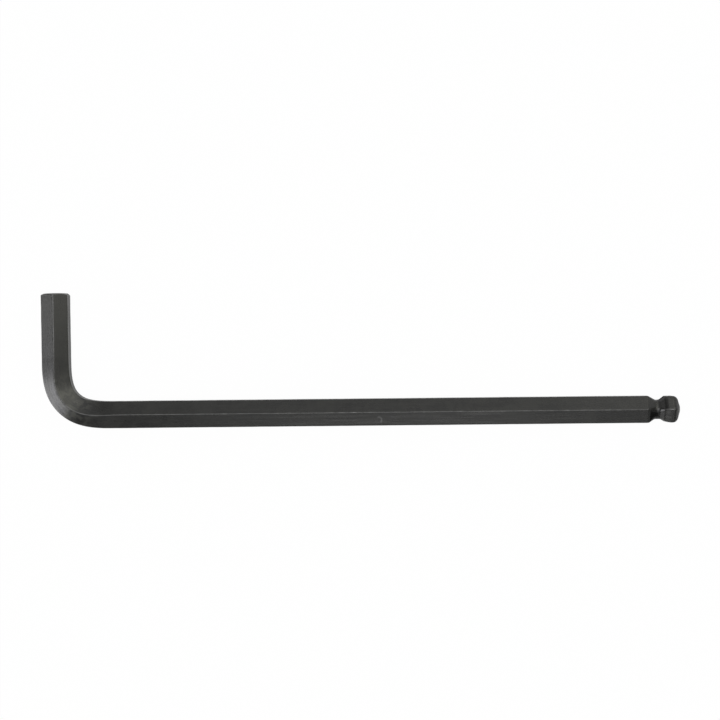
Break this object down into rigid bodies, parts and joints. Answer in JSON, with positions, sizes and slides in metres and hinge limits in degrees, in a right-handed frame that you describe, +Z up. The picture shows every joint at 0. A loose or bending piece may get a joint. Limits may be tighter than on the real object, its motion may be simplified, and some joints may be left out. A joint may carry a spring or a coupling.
{
  "type": "hex key",
  "caption": "Long-arm hex key in one piece: a hexagon bar with an elbow, a chamfered hex end on the short arm and a ball end on the long arm.",
  "frame": {"origin": "on the surface that the key lies on, under the middle of its outline seen from above", "axes": "+X along the long arm towards the ball end, +Y the way the short arm points, +Z up; the key lies on its lower corners"},
  "size_m": [0.2344, 0.05, 0.0113],
  "materials": {
    "black_oxide_steel": "hardened steel with a satin black oxide finish"
  },
  "bodies": {
    "root": {"hex_key": "black_oxide_steel"}
  },
  "joints": []
}
